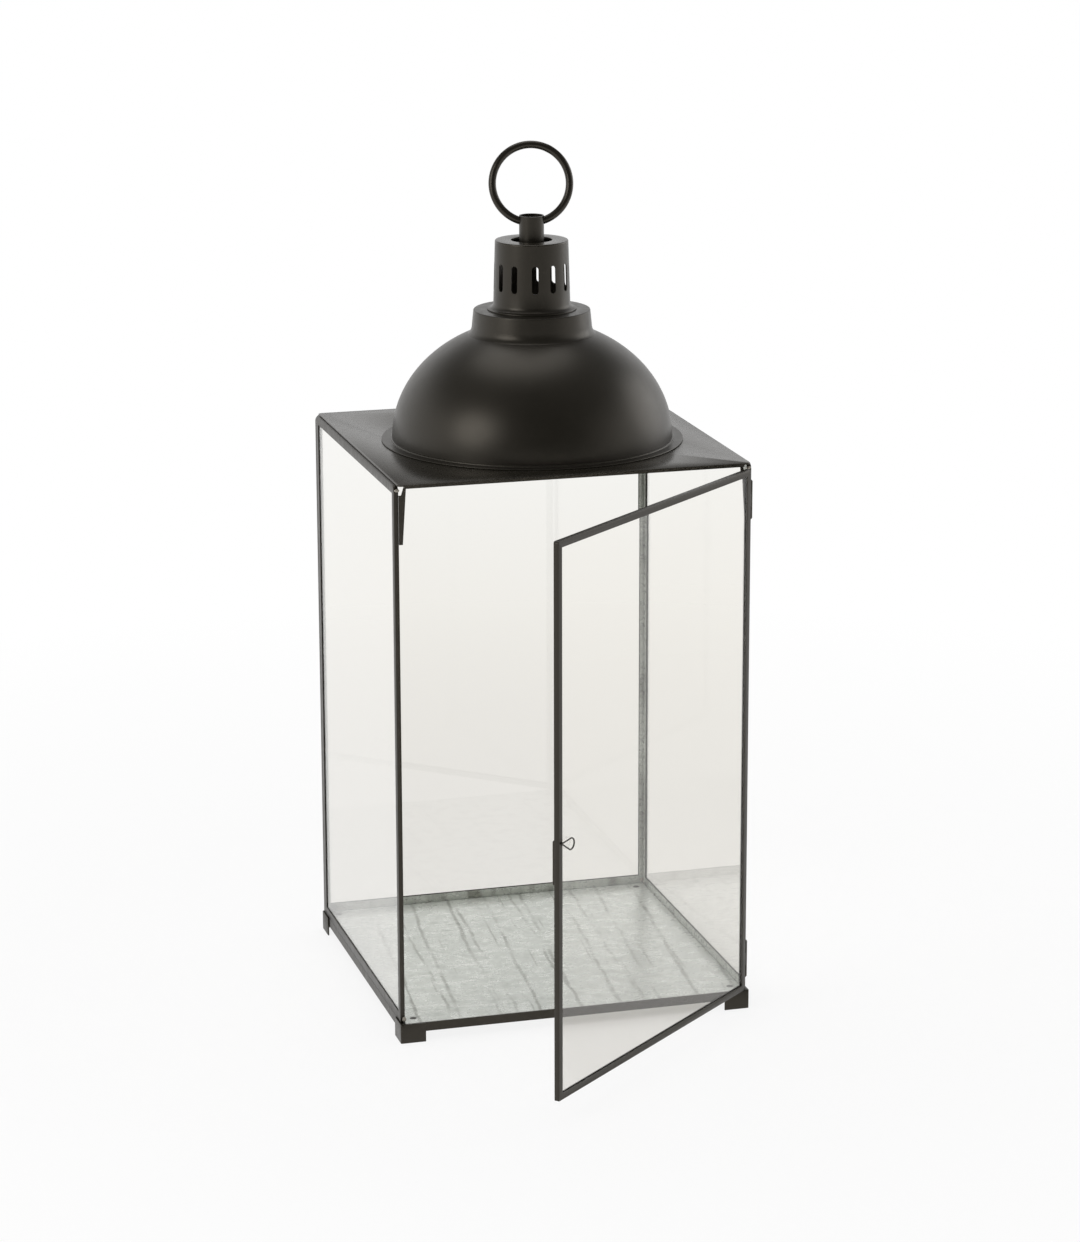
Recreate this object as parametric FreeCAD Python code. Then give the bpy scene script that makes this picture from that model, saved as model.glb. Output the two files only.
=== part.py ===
import FreeCAD, Part
import math
import os

# Candle lantern: a glazed metal box with a hinged door, a domed roof and a hanging ring.
# Millimetres, +Z up. The origin is the centre of the tray's upper face and the door is on the -Y side.

# ---------------------------------------------------------------- driving dimensions
base_width = 240.0          # over the feet, along X
base_depth = 236.0          # over the feet, along Y
box_height = 360.4          # from the tray to the underside of the top plate

# tray, base rails and feet
tray_thickness = 0.8
tray_edge_gap = 0.1         # from the tray to the channels round it
rail_height = 6.0
rail_wall = 1.0
shelf_width = 14.0          # leg of the rail that lies under the tray
shelf_thickness = 0.8
foot_leg = 17.0             # each leg of the corner angle
foot_height = 13.0
foot_wall = 1.0
rivet_head_radius = 2.3     # sunk flush into the tray
rivet_head_drop = 0.05      # from the tray's face down to the head's
rivet_radius = 1.2
rivet_tail_radius = 1.8
rivet_tail_height = 0.8
rivet_play = 0.1
rivet_inset = 10.0          # from the rails' outer faces

# fixed panes, each held by channels folded round its edges
glass_thickness = 1.9
channel_face = 5.8
channel_wall = 0.5
channel_glass_play = 0.05   # each side of the glass
channel_edge_gap = 0.3      # from the glass edge to the channel's web
channel_corner_radius = 4.5
front_setback = 5.0         # from the base's front to the front of the side panes

# front header, a folded strip whose ends are bent down as tapered tabs
header_height = 1.4
header_depth = 4.0
tab_wall = 0.8
tab_drop = 37.0
tab_top_width = 4.8
tab_bottom_width = 2.4
tab_notch_width = 3.2
tab_notch_height = 5.0

# top plate
plate_thickness = 1.0
plate_inset = 1.5           # from the outer faces of the side and back panes
plate_corner_radius = 3.0
vent_ledge = 8.4            # plate left inside the dome's wall

# where the roof sits, a little off the middle of the plate
roof_x = 2.4
roof_y = -3.0

# dome
dome_radius = 93.2
dome_height = 77.4
dome_wall = 0.8
dome_foot_height = 1.8      # straight part from the plate to the start of the curve
bead_width = 1.1
bead_bulge = 0.9            # how far the bead stands out at the middle of its curve
bead_bulge_height = 0.7     # from the brim to that middle
brim_width = 6.1
brim_thickness = 0.8

# collar, chimney and cap
collar_radius = 39.7
collar_taper = 1.0
collar_height = 14.8
collar_wall = 0.8
collar_lip_radius = 0.6
collar_seat_gap = 0.1
collar_ledge = 6.0          # shoulder left inside the chimney's foot
chimney_radius = 25.4
chimney_taper = 1.2
chimney_height = 44.8
chimney_wall = 0.8
flare_width = 4.1
flare_height = 3.6
slot_width = 4.4
slot_length = 18.2
slot_start = 13.6           # above the chimney's foot
# degrees of each hand-punched slot from the -Y direction
slot_angles = (-101.6, -70.0, -43.0, -10.2, 18.9, 47.4, 72.4, 98.4, 126.9, 151.9, 180.9, 210.4, 234.4)
cap_thickness = 1.2
cap_edge_radius = 0.9
cap_vent_width = 5.4        # gap round the ferrule
skirt_depth = 3.0
skirt_gap = 0.2

# ferrule that carries the ring, standing on a strap across the chimney
ferrule_radius = 8.2
ferrule_wall = 0.8
ferrule_rise = 16.0         # above the cap
ferrule_plug = 4.0
strap_width = 20.0
strap_thickness = 1.5
strap_drop = 6.0            # from the cap's underside to the strap
strap_end_height = 6.0
strap_end_gap = 0.05
screw_radius = 2.0
screw_play = 0.05
screw_head_radius = 3.8
screw_head_height = 2.0
screw_slot_width = 1.0

# hanging ring
ring_radius = 25.4          # to the middle of the wire
ring_wire_radius = 2.5
ring_hole_play = 0.5
ring_hole_margin = 0.4      # metal left above the ring's holes
ring_heading = -12.0        # degrees from the X axis, seen from above
ring_lean = 12.0            # degrees that the standing ring leans away from the door

# door
door_face = 4.3
door_wall = 0.6
door_glass_play = 0.25      # each side of the glass
door_glass_bite = 1.5       # depth of the glass edge in the door's channels
door_corner_radius = 1.5
door_free_inset = 1.5       # free edge in from the side pane's outer face
door_bottom_gap = 0.4
door_top_gap = 1.4
door_post_gap = 1.3         # between the closed door and the posts
door_angle = 41.7           # how far the door stands open

# hinges
hinge_inset = 1.8           # axis in from the side pane's outer face
knuckle_radius = 1.6
knuckle_length = 8.0
knuckle_gap = 0.3
leaf_wall = 0.8
pad_wall = 0.5
pad_depth = 2.9
pin_radius = 0.8
pin_play = 0.05
pin_head_radius = 1.2
pin_head_height = 0.6
lower_hinge_height = 22.0   # middle of the hinge above the tray
upper_hinge_drop = 23.4     # middle of the hinge below the top plate

# wire latch on the door's free stile
latch_height = 168.0
latch_wire_radius = 0.5
latch_play = 0.06
latch_inset = 2.1           # pivot in from the door's free edge
latch_face_gap = 0.2
loop_reach = 10.7
loop_drop = 2.8
loop_radius = 3.6
crank_face_gap = 0.15
crank_offset = 1.6
tongue_post_gap = 0.2
tongue_width = 2.6
tongue_wall = 1.0
tongue_length = 28.0
tongue_end_radius = 0.9

# ---------------------------------------------------------------- sizes that follow
half_width = base_width / 2
half_depth = base_depth / 2
rail_x = half_width - foot_wall
rail_y = half_depth - foot_wall
inner_x = rail_x - rail_wall
inner_y = rail_y - rail_wall
shelf_bottom = -tray_thickness - shelf_thickness
channel_depth = glass_thickness + 2 * (channel_wall + channel_glass_play)
post_front = -half_depth + front_setback
post_inner = rail_x - channel_depth
back_inner = rail_y - channel_depth
tray_x = post_inner - tray_edge_gap
tray_back = back_inner - tray_edge_gap
plate_bottom = box_height
plate_top = plate_bottom + plate_thickness
header_bottom = plate_bottom - header_height
dome_start = plate_top + dome_foot_height
dome_inner = dome_radius - dome_wall
collar_inner = collar_radius - collar_wall
collar_top_radius = collar_radius - collar_taper
collar_bottom = dome_start + dome_height * math.sqrt(1 - (collar_inner / dome_radius) ** 2) + collar_seat_gap
collar_top = collar_bottom + collar_height
chimney_top = collar_top + chimney_height
chimney_top_radius = chimney_radius - chimney_taper
flare_radius = chimney_radius + flare_width
cap_top = chimney_top + cap_thickness
ferrule_top = cap_top + ferrule_rise
strap_top = chimney_top - strap_drop
ring_hole_radius = ring_wire_radius + ring_hole_play
ring_hole_height = ferrule_top - ring_hole_margin - ring_hole_radius
ring_seat = ferrule_radius - ferrule_wall / 2
ring_centre = ring_hole_height + math.sqrt(ring_radius ** 2 - ring_seat ** 2)
door_depth = glass_thickness + 2 * (door_wall + door_glass_play)
door_inner = post_front - door_post_gap
door_outer = door_inner - door_depth
hinge_x = rail_x - hinge_inset
hinge_y = (door_inner + door_outer) / 2
door_hinge_edge = hinge_x - knuckle_radius - pad_wall
door_free_edge = -rail_x + door_free_inset
door_height = header_bottom - door_top_gap - door_bottom_gap
latch_x = door_free_edge + latch_inset
upper_hinge_height = box_height - upper_hinge_drop

up = FreeCAD.Vector(0, 0, 1)
along_x = FreeCAD.Vector(1, 0, 0)
along_y = FreeCAD.Vector(0, 1, 0)
origin = FreeCAD.Vector(0, 0, 0)


# ---------------------------------------------------------------- helpers
def point(x, y, z):
    return FreeCAD.Vector(x, y, z)


def block(x0, x1, y0, y1, z0, z1):
    return Part.makeBox(x1 - x0, y1 - y0, z1 - z0, point(x0, y0, z0))


def rod(radius, start, end):
    direction = end.sub(start)
    return Part.makeCylinder(radius, direction.Length, start, direction)


def upright_rod(radius, z0, z1, x=0.0, y=0.0):
    return rod(radius, point(x, y, z0), point(x, y, z1))


def polyline(corners):
    """Straight edges through (radius, height) corners in the XZ plane."""
    places = [point(r, 0, z) for r, z in corners]
    return [Part.makeLine(a, b) for a, b in zip(places, places[1:])]


def turned(outline):
    """Solid of revolution about the Z axis from a closed outline."""
    return Part.Face(Part.Wire(outline)).revolve(origin, up, 360)


def upright_plate(corners, y0, y1):
    """Flat plate with (x, z) corners between two Y planes."""
    places = [point(x, y0, z) for x, z in corners]
    face = Part.Face(Part.makePolygon(places + places[:1]))
    return face.extrude(point(0, y1 - y0, 0))


def rounded(shape, radius, direction):
    """Round every straight edge that runs along a direction."""
    edges = [e for e in shape.Edges if abs(e.tangentAt(e.FirstParameter).dot(direction)) > 0.99]
    return shape.makeFillet(radius, edges)


def turn(shape, degrees, x=0.0, y=0.0):
    copy = shape.copy()
    copy.rotate(point(x, y, 0), up, degrees)
    return copy


def moved(shape, x, y, z):
    copy = shape.copy()
    copy.translate(point(x, y, z))
    return copy


def save(name, shape):
    solids = shape.Solids
    whole = solids[0] if len(solids) == 1 else Part.makeCompound(solids)
    whole.exportStep("parts/" + name + ".step")
    print(name, len(solids), "solid", round(whole.Volume, 1), "mm3", "valid", whole.isValid())


def save_on_roof(name, shape):
    save(name, moved(shape, roof_x, roof_y, 0))


# ---------------------------------------------------------------- base
def rivet_places():
    x = rail_x - rivet_inset
    y = rail_y - rivet_inset
    return [(side * x, end * y) for side in (-1, 1) for end in (-1, 1)]


def drilled_for_rivets(shape):
    for x, y in rivet_places():
        shape = shape.cut(upright_rod(rivet_radius + rivet_play, -rail_height, 0, x, y))
    return shape


def sunk_head(radius, foot_radius, top):
    """Cone that fills the countersink, from the tray's underside up to a height."""
    return turned(polyline([
        (0, -tray_thickness), (foot_radius, -tray_thickness), (radius, top), (0, top), (0, -tray_thickness)]))


def make_tray():
    tray = block(-tray_x, tray_x, -inner_y, tray_back, -tray_thickness, 0)
    sink = sunk_head(rivet_head_radius + rivet_play, rivet_radius + rivet_play, 0)
    for x, y in rivet_places():
        tray = tray.cut(moved(sink, x, y, 0))
    save("base_tray", tray)


def make_rails():
    front_wall = block(-rail_x, rail_x, -rail_y, -inner_y, -rail_height, 0)
    front_shelf = block(-inner_x, inner_x, -inner_y, -inner_y + shelf_width, shelf_bottom, -tray_thickness)
    front = drilled_for_rivets(front_wall.fuse(front_shelf).removeSplitter())
    side_wall = block(-rail_x, -inner_x, -inner_y, inner_y, -rail_height, 0)
    shelf_end = inner_y - shelf_width
    side_shelf = block(-inner_x, -inner_x + shelf_width, -shelf_end, shelf_end, shelf_bottom, -tray_thickness)
    left = side_wall.fuse(side_shelf).removeSplitter()
    save("base_rail_front", front)
    save("base_rail_back", front.mirror(origin, along_y))
    save("base_rail_left", left)
    save("base_rail_right", left.mirror(origin, along_x))


def make_rivets():
    head = sunk_head(rivet_head_radius, rivet_radius, -rivet_head_drop)
    shank = upright_rod(rivet_radius, shelf_bottom, -tray_thickness)
    tail = upright_rod(rivet_tail_radius, shelf_bottom - rivet_tail_height, shelf_bottom)
    rivet = head.fuse(shank).fuse(tail)
    save("tray_rivets", Part.makeCompound([moved(rivet, x, y, 0) for x, y in rivet_places()]))


def make_feet():
    outside = block(-half_width, -half_width + foot_leg, -half_depth, -half_depth + foot_leg, -foot_height, 0)
    inside = block(-half_width + foot_wall, 0, -half_depth + foot_wall, 0, -foot_height, 0)
    front_left = outside.cut(inside)
    front_right = front_left.mirror(origin, along_x)
    save("foot_front_left", front_left)
    save("foot_front_right", front_right)
    save("foot_back_left", front_left.mirror(origin, along_y))
    save("foot_back_right", front_right.mirror(origin, along_y))


# ---------------------------------------------------------------- glazed frames
def pane_outline(width, height, corner_radius, y0, y1, inset):
    """Upright slab with rounded upper corners, centred on X and standing on Z = 0."""
    half = width / 2 - inset
    slab = block(-half, half, y0, y1, inset, height - inset)
    radius = corner_radius - inset
    if radius <= 0:
        return slab
    corners = [e for e in slab.Edges if e.BoundBox.ZMin > height / 2 and e.BoundBox.YLength > (y1 - y0) / 2]
    return slab.makeFillet(radius, corners)


def glazed_frame(width, height, face, wall, glass_play, edge_gap, corner_radius):
    """Four folded channels and their pane, with the outer side at Y = 0."""
    depth = glass_thickness + 2 * (wall + glass_play)
    half = width / 2
    frame = pane_outline(width, height, corner_radius, 0, depth, 0)
    frame = frame.cut(pane_outline(width, height, corner_radius, wall, depth - wall, wall))
    frame = frame.cut(block(-half + face, half - face, 0, depth, face, height - face))
    glass_inset = wall + edge_gap
    glass_front = wall + glass_play
    glass_back = depth - wall - glass_play
    glass = pane_outline(width, height, corner_radius, glass_front, glass_back, glass_inset)
    foot = block(-half + glass_inset, half - glass_inset, glass_front, glass_back, wall, glass_inset)
    return {
        "left": frame.common(block(-half, -half + face, 0, depth, 0, height)),
        "right": frame.common(block(half - face, half, 0, depth, 0, height)),
        "bottom": frame.common(block(-half + face, half - face, 0, depth, 0, face)),
        "top": frame.common(block(-half + face, half - face, 0, depth, height - face, height)),
        "glass": glass.fuse(foot).removeSplitter()}


def save_fixed_pane(side_name, width, piece_names, degrees, x, y):
    frame = glazed_frame(width, box_height, channel_face, channel_wall, channel_glass_play, channel_edge_gap,
                         channel_corner_radius)
    for piece, shape in frame.items():
        name = side_name + "_channel_" + piece_names.get(piece, piece)
        if piece == "glass":
            name = "glass_" + side_name
        save(name, moved(turn(shape, degrees), x, y, 0))


def make_fixed_panes():
    side_width = back_inner - post_front
    middle_y = (back_inner + post_front) / 2
    save_fixed_pane("left", side_width, {"left": "rear", "right": "front"}, -90, -rail_x, middle_y)
    save_fixed_pane("right", side_width, {"left": "front", "right": "rear"}, 90, rail_x, middle_y)
    save_fixed_pane("back", 2 * rail_x, {"left": "right", "right": "left"}, 180, 0, rail_y)


# ---------------------------------------------------------------- top of the box
def make_header():
    bar_end = post_inner - tab_notch_width
    tab_back = post_front
    tab_front = post_front - tab_wall
    bar = block(-bar_end, bar_end, tab_back - header_depth, tab_back, header_bottom, plate_bottom)
    tab = upright_plate([
        (-post_inner, header_bottom - tab_drop),
        (-post_inner + tab_bottom_width, header_bottom - tab_drop),
        (-post_inner + tab_top_width, header_bottom),
        (-bar_end, header_bottom),
        (-post_inner + tab_notch_width / 2, header_bottom - tab_notch_height),
        (-post_inner, header_bottom - tab_notch_height)], tab_front, tab_back)
    save("front_header", bar.fuse(tab).fuse(tab.mirror(origin, along_x)).removeSplitter())


def make_top_plate():
    x = rail_x - plate_inset
    plate = block(-x, x, -rail_y, rail_y - plate_inset, plate_bottom, plate_top)
    plate = rounded(plate, plate_corner_radius, up)
    vent = upright_rod(dome_inner - vent_ledge, plate_bottom, plate_top, roof_x, roof_y)
    save("top_plate", plate.cut(vent))


# ---------------------------------------------------------------- roof
def dome_curve(foot_radius, rise):
    """Quarter ellipse from the dome's foot up to the collar's bore."""
    end_radius = collar_inner - dome_wall
    end_angle = math.acos(end_radius / foot_radius)
    steps = 8
    places = []
    for step in range(steps + 1):
        angle = end_angle * step / steps
        places.append(point(foot_radius * math.cos(angle), 0, dome_start + rise * math.sin(angle)))
    end_tangent = point(-foot_radius * math.sin(end_angle), 0, rise * math.cos(end_angle))
    curve = Part.BSplineCurve()
    curve.interpolate(Points=places, InitialTangent=up, FinalTangent=end_tangent.normalize())
    return curve.toShape(), places[0], places[-1]


def make_dome():
    outer, outer_foot, outer_end = dome_curve(dome_radius, dome_height)
    inner, inner_foot, inner_end = dome_curve(dome_inner, dome_height - dome_wall)
    brim_top = plate_top + brim_thickness
    bead_edge = dome_radius + bead_width
    brim_edge = bead_edge + brim_width
    bead_start = point(bead_edge, 0, brim_top)
    bead_middle = point(dome_radius + bead_bulge, 0, brim_top + bead_bulge_height)
    base_inner = point(dome_inner, 0, plate_top)
    outline = [Part.makeLine(base_inner, point(brim_edge, 0, plate_top))]
    outline.append(Part.makeLine(point(brim_edge, 0, plate_top), point(brim_edge, 0, brim_top)))
    outline.append(Part.makeLine(point(brim_edge, 0, brim_top), bead_start))
    outline.append(Part.Arc(bead_start, bead_middle, outer_foot).toShape())
    outline += [outer, Part.makeLine(outer_end, inner_end), inner, Part.makeLine(inner_foot, base_inner)]
    save_on_roof("dome", turned(outline))


def rim_edges(shape, height, radius):
    """Circular edges of a given radius at a given height."""
    edges = []
    for edge in shape.Edges:
        box = edge.BoundBox
        level = abs(box.ZMin - height) < 0.01 and abs(box.ZMax - height) < 0.01
        if level and abs(box.XMax - radius) < 0.01:
            edges.append(edge)
    return edges


def make_collar():
    bore = flare_radius - collar_ledge
    collar = turned(polyline([
        (collar_inner, collar_bottom), (collar_radius, collar_bottom), (collar_top_radius, collar_top),
        (bore, collar_top), (bore, collar_top - collar_wall),
        (collar_top_radius - collar_wall, collar_top - collar_wall), (collar_inner, collar_bottom)]))
    lip = rim_edges(collar, collar_top, collar_top_radius)
    save_on_roof("dome_collar", collar.makeFillet(collar_lip_radius, lip))


def flare_arc(outer_radius, z0, z1):
    """Arc that leaves the foot level and rises to the chimney wall."""
    bend = (flare_width ** 2 + (z1 - z0) ** 2) / (2 * (z1 - z0))
    half_turn = math.atan2(flare_width, bend - (z1 - z0)) / 2
    middle = point(outer_radius - bend * math.sin(half_turn), 0, z0 + bend * (1 - math.cos(half_turn)))
    return Part.Arc(point(outer_radius, 0, z0), middle, point(outer_radius - flare_width, 0, z1)).toShape()


def make_chimney():
    wall = chimney_wall
    flare_top = collar_top + flare_height
    inner_flare = flare_arc(flare_radius - wall, collar_top, flare_top)
    outer_flare = flare_arc(flare_radius, collar_top + wall, flare_top + wall)
    foot = polyline([
        (flare_radius - wall, collar_top), (flare_radius, collar_top), (flare_radius, collar_top + wall)])
    body = polyline([
        (chimney_radius, flare_top + wall), (chimney_top_radius, chimney_top),
        (chimney_top_radius - wall, chimney_top), (chimney_radius - wall, flare_top)])
    shell = turned(foot + [outer_flare] + body + [inner_flare])
    low = collar_top + slot_start + slot_width / 2
    high = collar_top + slot_start + slot_length - slot_width / 2
    slot = block(-slot_width / 2, slot_width / 2, -flare_radius, 0, low, high)
    for z in (low, high):
        slot = slot.fuse(rod(slot_width / 2, point(0, 0, z), point(0, -flare_radius, z)))
    for angle in slot_angles:
        shell = shell.cut(turn(slot, angle))
    save_on_roof("chimney", shell)


def make_cap():
    skirt_outer = chimney_top_radius - chimney_wall - skirt_gap
    skirt_inner = skirt_outer - chimney_wall
    hole = ferrule_radius + cap_vent_width
    skirt_low = chimney_top - skirt_depth
    cap = turned(polyline([
        (hole, chimney_top), (skirt_inner, chimney_top), (skirt_inner, skirt_low), (skirt_outer, skirt_low),
        (skirt_outer, chimney_top), (chimney_top_radius, chimney_top), (chimney_top_radius, cap_top),
        (hole, cap_top), (hole, chimney_top)]))
    save_on_roof("chimney_cap", cap.makeFillet(cap_edge_radius, rim_edges(cap, cap_top, chimney_top_radius)))


# ---------------------------------------------------------------- ring and what carries it
def ring_direction():
    angle = math.radians(ring_heading)
    return point(math.cos(angle), math.sin(angle), 0)


def chimney_bore(height):
    """Inner radius of the tapered chimney at a height."""
    wall_foot = collar_top + flare_height + chimney_wall
    share = (height - wall_foot) / (chimney_top - wall_foot)
    return chimney_radius - share * chimney_taper - chimney_wall


def make_strap():
    end = chimney_bore(strap_top) - strap_end_gap
    strap_low = strap_top - strap_end_height
    disc = upright_rod(end, strap_low, strap_top)
    band = block(-end, end, -strap_width / 2, strap_width / 2, strap_low, strap_top)
    leg_inner = math.sqrt(end ** 2 - (strap_width / 2) ** 2) - strap_thickness
    hollow = block(-leg_inner, leg_inner, -strap_width, strap_width, strap_low, strap_top - strap_thickness)
    strap = disc.common(band).cut(hollow).cut(upright_rod(screw_radius + screw_play, strap_low, strap_top))
    save_on_roof("ring_strap", turn(strap, ring_heading + 90))


def make_ferrule():
    heading = ring_direction()
    plug_top = strap_top + ferrule_plug
    ferrule = upright_rod(ferrule_radius, strap_top, ferrule_top)
    ferrule = ferrule.cut(upright_rod(ferrule_radius - ferrule_wall, plug_top, ferrule_top))
    ferrule = ferrule.cut(upright_rod(screw_radius + screw_play, strap_top, plug_top))
    middle = point(0, 0, ring_hole_height)
    reach = heading * (2 * ferrule_radius)
    save_on_roof("ring_ferrule", ferrule.cut(rod(ring_hole_radius, middle.sub(reach), middle.add(reach))))


def make_screw():
    head_top = strap_top - strap_thickness
    head_low = head_top - screw_head_height
    head = upright_rod(screw_head_radius, head_low, head_top)
    slot_top = head_low + screw_head_height / 2
    half_slot = screw_slot_width / 2
    slot = block(-screw_head_radius, screw_head_radius, -half_slot, half_slot, head_low, slot_top)
    shank = upright_rod(screw_radius, head_top, strap_top + ferrule_plug)
    save_on_roof("ferrule_screw", head.cut(slot).fuse(shank))


def make_ring():
    heading = ring_direction()
    facing = point(-heading.y, heading.x, 0)
    ring = Part.makeTorus(ring_radius, ring_wire_radius, point(0, 0, ring_centre), facing)
    ring.rotate(point(0, 0, ring_hole_height), heading, -ring_lean)
    save_on_roof("hanging_ring", ring)


# ---------------------------------------------------------------- hinges
def opened(shape):
    """A door piece turned about the hinge from closed to the angle at which the door stands."""
    return turn(shape, door_angle, hinge_x, hinge_y)


def knuckle_rows(middle):
    """Bottom and top of the lower, middle and upper knuckles."""
    step = knuckle_length + knuckle_gap
    half = knuckle_length / 2
    return [(middle + row * step - half, middle + row * step + half) for row in (-1, 0, 1)]


def make_fixed_leaf(name, rows):
    low = rows[0][0]
    high = rows[2][1]
    leaf_front = post_front - leaf_wall
    outer_x = hinge_x + knuckle_radius
    leaf = block(post_inner, outer_x, leaf_front, post_front, low, high)
    for z0, z1 in (rows[0], rows[2]):
        leaf = leaf.fuse(block(outer_x - leaf_wall, outer_x, hinge_y, leaf_front, z0, z1))
        leaf = leaf.fuse(upright_rod(knuckle_radius, z0, z1, hinge_x, hinge_y))
    bore = upright_rod(pin_radius + pin_play, low, high, hinge_x, hinge_y)
    save(name + "_fixed_leaf", leaf.cut(bore).removeSplitter())


def make_door_leaf(name, rows):
    z0, z1 = rows[1]
    pad_half = pad_depth / 2
    pad = block(door_hinge_edge, hinge_x, hinge_y - pad_half, hinge_y + pad_half, z0, z1)
    leaf = pad.fuse(upright_rod(knuckle_radius, z0, z1, hinge_x, hinge_y))
    bore = upright_rod(pin_radius + pin_play, z0, z1, hinge_x, hinge_y)
    save(name + "_door_leaf", opened(leaf.cut(bore).removeSplitter()))


def make_pin(name, rows):
    low = rows[0][0]
    high = rows[2][1]
    pin = upright_rod(pin_radius, low, high, hinge_x, hinge_y)
    for z in (low - pin_head_height, high):
        pin = pin.fuse(upright_rod(pin_head_radius, z, z + pin_head_height, hinge_x, hinge_y))
    save(name + "_pin", pin)


def make_hinges():
    for name, middle in (("hinge_lower", lower_hinge_height), ("hinge_upper", upper_hinge_height)):
        rows = knuckle_rows(middle)
        make_fixed_leaf(name, rows)
        make_door_leaf(name, rows)
        make_pin(name, rows)


# ---------------------------------------------------------------- door and latch
def make_door():
    names = {"left": "door_stile_free", "right": "door_stile_hinge", "bottom": "door_rail_bottom",
             "top": "door_rail_top", "glass": "door_glass"}
    edge_gap = door_face - door_wall - door_glass_bite
    frame = glazed_frame(door_hinge_edge - door_free_edge, door_height, door_face, door_wall, door_glass_play,
                         edge_gap, door_corner_radius)
    middle_x = (door_hinge_edge + door_free_edge) / 2
    latch_hole = rod(latch_wire_radius + latch_play, point(latch_x, door_outer, latch_height),
                     point(latch_x, door_inner, latch_height))
    for piece, shape in frame.items():
        place = moved(shape, middle_x, door_outer, door_bottom_gap)
        if piece == "left":
            place = place.cut(latch_hole)
        save(names[piece], opened(place))


def thumb_loop(pivot):
    """Teardrop of wire from the pivot: two straight legs and the arc that both touch."""
    wire = latch_wire_radius
    reach = math.hypot(loop_reach, loop_drop)
    heading = math.atan2(-loop_drop, loop_reach)
    spread = math.acos(loop_radius / reach)
    middle = pivot.add(point(loop_reach, 0, -loop_drop))

    def on_circle(angle):
        return middle.add(point(loop_radius * math.cos(angle), 0, loop_radius * math.sin(angle)))

    first = on_circle(heading + math.pi - spread)
    last = on_circle(heading + math.pi + spread)
    path = Part.Wire([Part.Arc(first, on_circle(heading), last).toShape()])
    section = Part.Wire([Part.makeCircle(wire, first, first.sub(pivot))])
    bow = path.makePipeShell([section], True, False)
    return bow.fuse(rod(wire, pivot, first)).fuse(rod(wire, pivot, last))


def make_latch():
    wire = latch_wire_radius
    crank_y = door_inner + crank_face_gap + wire
    tongue_front = post_front + tongue_post_gap
    tongue_x = latch_x + crank_offset
    pivot = point(latch_x, door_outer - latch_face_gap - wire, latch_height)
    bends = [pivot, point(latch_x, crank_y, latch_height), point(tongue_x, crank_y, latch_height),
             point(tongue_x, tongue_front + tongue_wall / 2, latch_height)]
    latch = thumb_loop(pivot)
    for start, end in zip(bends, bends[1:]):
        latch = latch.fuse(rod(wire, start, end))
    for bend in bends:
        latch = latch.fuse(Part.makeSphere(wire, bend))
    tongue = block(tongue_x - tongue_width / 2, tongue_x + tongue_width / 2, tongue_front,
                   tongue_front + tongue_wall, latch_height - tongue_length, latch_height + wire)
    save("door_latch", opened(latch.fuse(rounded(tongue, tongue_end_radius, along_y))))


os.makedirs("parts", exist_ok=True)
make_tray()
make_rails()
make_rivets()
make_feet()
make_fixed_panes()
make_header()
make_top_plate()
make_dome()
make_collar()
make_chimney()
make_cap()
make_strap()
make_ferrule()
make_screw()
make_ring()
make_hinges()
make_door()
make_latch()
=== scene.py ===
import math
import bmesh
import bpy
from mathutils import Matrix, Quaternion, Vector


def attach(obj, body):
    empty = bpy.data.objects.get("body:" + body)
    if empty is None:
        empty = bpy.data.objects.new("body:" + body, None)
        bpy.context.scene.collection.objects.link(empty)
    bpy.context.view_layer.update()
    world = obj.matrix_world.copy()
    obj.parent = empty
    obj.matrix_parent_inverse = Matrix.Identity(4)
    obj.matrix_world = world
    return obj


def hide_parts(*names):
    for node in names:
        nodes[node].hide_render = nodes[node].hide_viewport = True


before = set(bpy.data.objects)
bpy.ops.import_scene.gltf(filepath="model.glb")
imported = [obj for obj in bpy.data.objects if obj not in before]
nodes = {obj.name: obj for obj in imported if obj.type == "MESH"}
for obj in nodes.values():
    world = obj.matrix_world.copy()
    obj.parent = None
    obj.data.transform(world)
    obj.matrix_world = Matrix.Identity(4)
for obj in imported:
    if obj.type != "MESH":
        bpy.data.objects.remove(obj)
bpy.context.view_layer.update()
mm = 0.001


def deselectAll():
    if bpy.context.mode != "OBJECT":
        bpy.ops.object.mode_set(mode="OBJECT")
    bpy.ops.object.select_all(action="DESELECT")


def makeActive(piece):
    deselectAll()
    piece.select_set(True)
    bpy.context.view_layer.objects.active = piece


def pickFaces(piece, test):
    mesh = bmesh.from_edit_mesh(piece.data)
    bpy.ops.mesh.select_all(action="DESELECT")
    bpy.ops.mesh.select_mode(type="FACE")
    for face in mesh.faces:
        face.select_set(test(face.calc_center_median(), face.normal))
    bmesh.update_edit_mesh(piece.data)


def pickEdges(piece, test):
    mesh = bmesh.from_edit_mesh(piece.data)
    bpy.ops.mesh.select_all(action="DESELECT")
    bpy.ops.mesh.select_mode(type="EDGE")
    for edge in mesh.edges:
        edge.select_set(test(edge.verts[0].co, edge.verts[1].co))
    bmesh.update_edit_mesh(piece.data)


def addBlock(name, size, place):
    deselectAll()
    bpy.ops.mesh.primitive_cube_add(size=1, location=place)
    piece = bpy.context.object
    piece.name = name
    piece.scale = size
    bpy.ops.object.transform_apply(location=True, rotation=True, scale=True)
    return piece


def applyBevel(piece, width, segments, angle=35):
    makeActive(piece)
    edgeRound = piece.modifiers.new("edgeRound", "BEVEL")
    edgeRound.width = width
    edgeRound.segments = segments
    edgeRound.limit_method = "ANGLE"
    edgeRound.angle_limit = math.radians(angle)
    bpy.ops.object.modifier_apply(modifier=edgeRound.name)


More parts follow.
